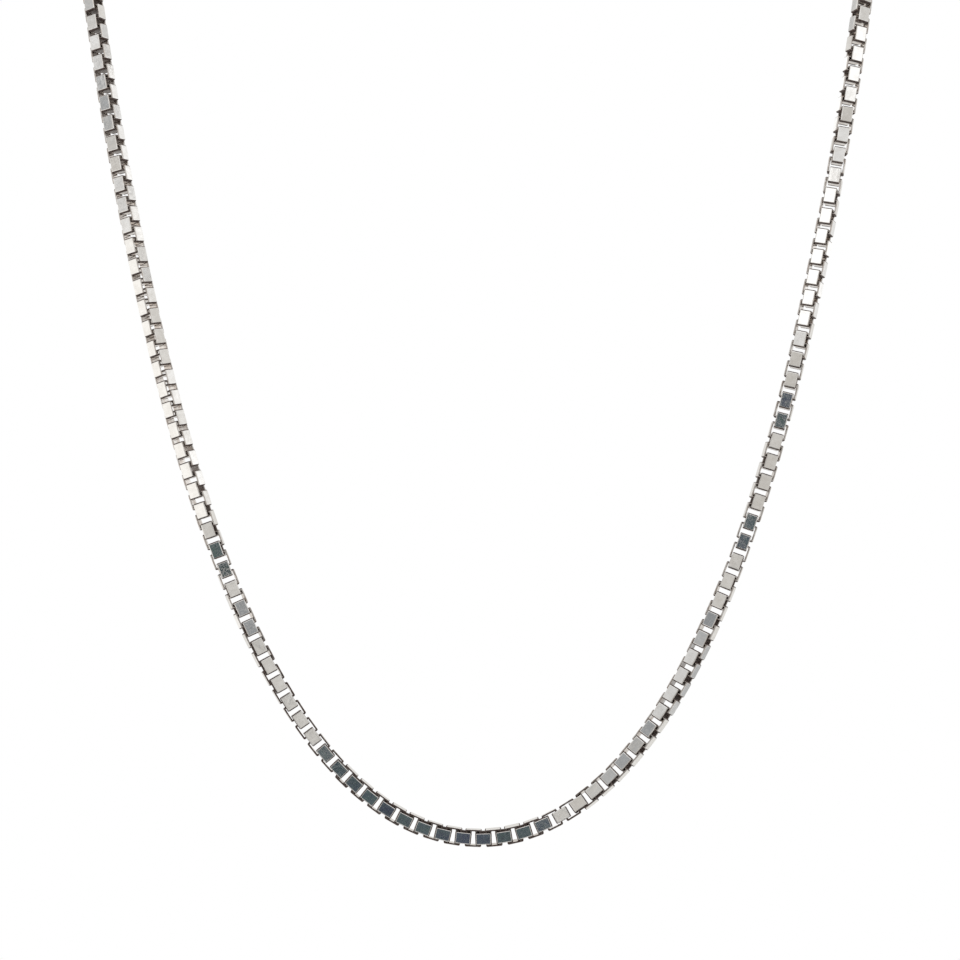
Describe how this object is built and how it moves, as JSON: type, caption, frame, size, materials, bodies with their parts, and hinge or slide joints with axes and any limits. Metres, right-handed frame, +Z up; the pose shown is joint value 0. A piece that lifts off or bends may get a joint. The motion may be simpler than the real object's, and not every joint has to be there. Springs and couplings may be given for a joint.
{
  "type": "box chain necklace",
  "caption": "Box chain necklace of square links bent from flat strip, a closed loop shaped as worn with a deep curve in front and a plain barrel clasp behind.",
  "frame": {"origin": "middle of the neck opening, at the height of the chain behind the neck", "axes": "+Z up, the front of the necklace faces -Y, +X to the right seen from the front"},
  "size_m": [0.1319, 0.0863, 0.1676],
  "materials": {
    "chain": "polished silver, lightly scuffed by wear",
    "clasp": "polished silver"
  },
  "bodies": {
    "root": {"chain_front": "chain", "chain_back": "chain", "clasp": "clasp"}
  },
  "joints": []
}
